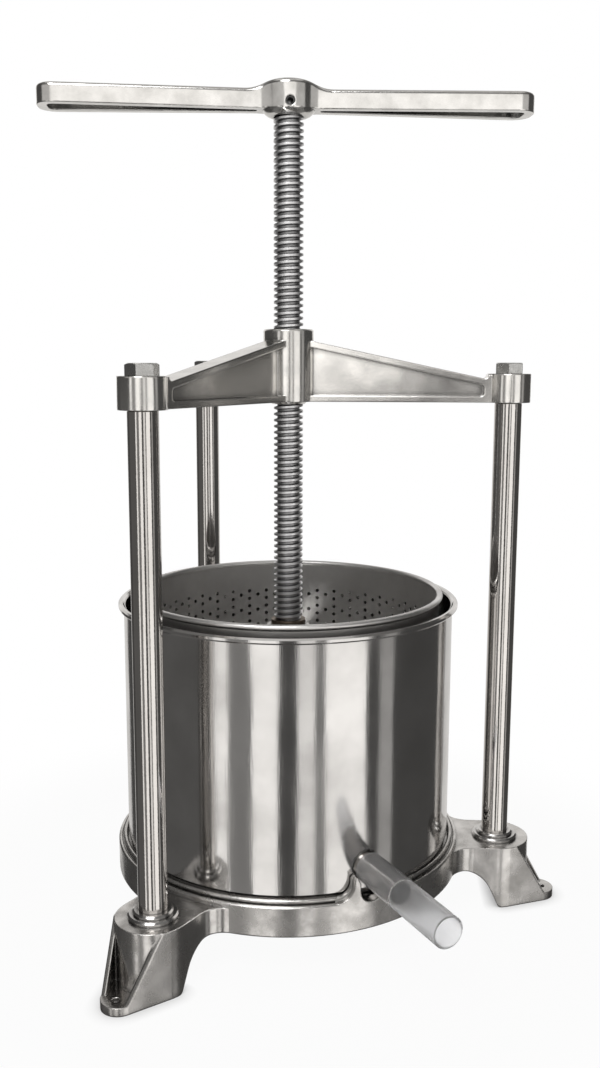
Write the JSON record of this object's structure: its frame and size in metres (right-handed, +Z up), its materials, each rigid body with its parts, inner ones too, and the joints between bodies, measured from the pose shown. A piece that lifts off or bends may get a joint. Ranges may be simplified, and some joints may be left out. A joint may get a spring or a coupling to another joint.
{
  "type": "fruit press",
  "caption": "Screw press for fruit: a long handle turns a screw through a yoke on columns and drives a plate into a perforated basket in a bucket with a spout.",
  "frame": {"origin": "on the screw's axis at the level of the feet's undersides", "axes": "+Z up along the screw, -Y out along the spout"},
  "size_m": [0.4038, 0.477, 0.6752],
  "materials": {
    "cast_aluminium": "polished casting, slightly wavy",
    "handle_aluminium": "polished casting",
    "plate_aluminium": "satin casting",
    "thrust_ring": "dull, oiled",
    "screw_steel": "rolled thread, oiled",
    "pin_steel": "dark spring steel",
    "zinc_steel": "zinc plated",
    "polished_stainless": "polished",
    "perforated_stainless": "satin",
    "chromed_column": "mirror",
    "turned_collar": "polished",
    "sleeve_plastic": "translucent, soft"
  },
  "bodies": {
    "stand": {"base_casting": "cast_aluminium", "yoke": "cast_aluminium", "back_column": "chromed_column", "back_collar": "turned_collar", "back_bolt": "zinc_steel", "left_column": "chromed_column", "left_collar": "turned_collar", "left_bolt": "zinc_steel", "right_column": "chromed_column", "right_collar": "turned_collar", "right_bolt": "zinc_steel"},
    "plate": {"press_plate": "plate_aluminium", "thrust_ring": "thrust_ring"},
    "spindle": {"screw": "screw_steel", "handle": "handle_aluminium", "cross_pin": "pin_steel", "plate_retaining_washer": "zinc_steel", "plate_retaining_bolt": "zinc_steel"},
    "vessel": {"bucket": "polished_stainless", "spout_tube": "polished_stainless"},
    "strainer": {"basket": "perforated_stainless"},
    "outlet": {"spout_sleeve": "sleeve_plastic"}
  },
  "joints": [
    {"name": "plate_travel", "type": "slide", "parent": "stand", "child": "plate", "axis": [0, 0, 1], "range_m": [-0.1041, 0.1701]},
    {"name": "screw_turn", "type": "hinge", "parent": "plate", "child": "spindle", "pos_m": [0, 0, 0.24], "axis": [0, 0, 1], "range_deg": [-7488, 12240]},
    {"name": "bucket_lift", "type": "slide", "parent": "stand", "child": "vessel", "axis": [0, 0, 1], "range_m": [0, 0.01]},
    {"name": "basket_lift", "type": "slide", "parent": "vessel", "child": "strainer", "axis": [0, 0, 1], "range_m": [0, 0.01]},
    {"name": "sleeve_slide", "type": "slide", "parent": "vessel", "child": "outlet", "axis": [0, -1, 0], "range_m": [0, 0.044]}
  ],
  "couplings": [
    {"joint": "plate_travel", "follows": "screw_turn", "m_per_rad": 0.00079577}
  ]
}
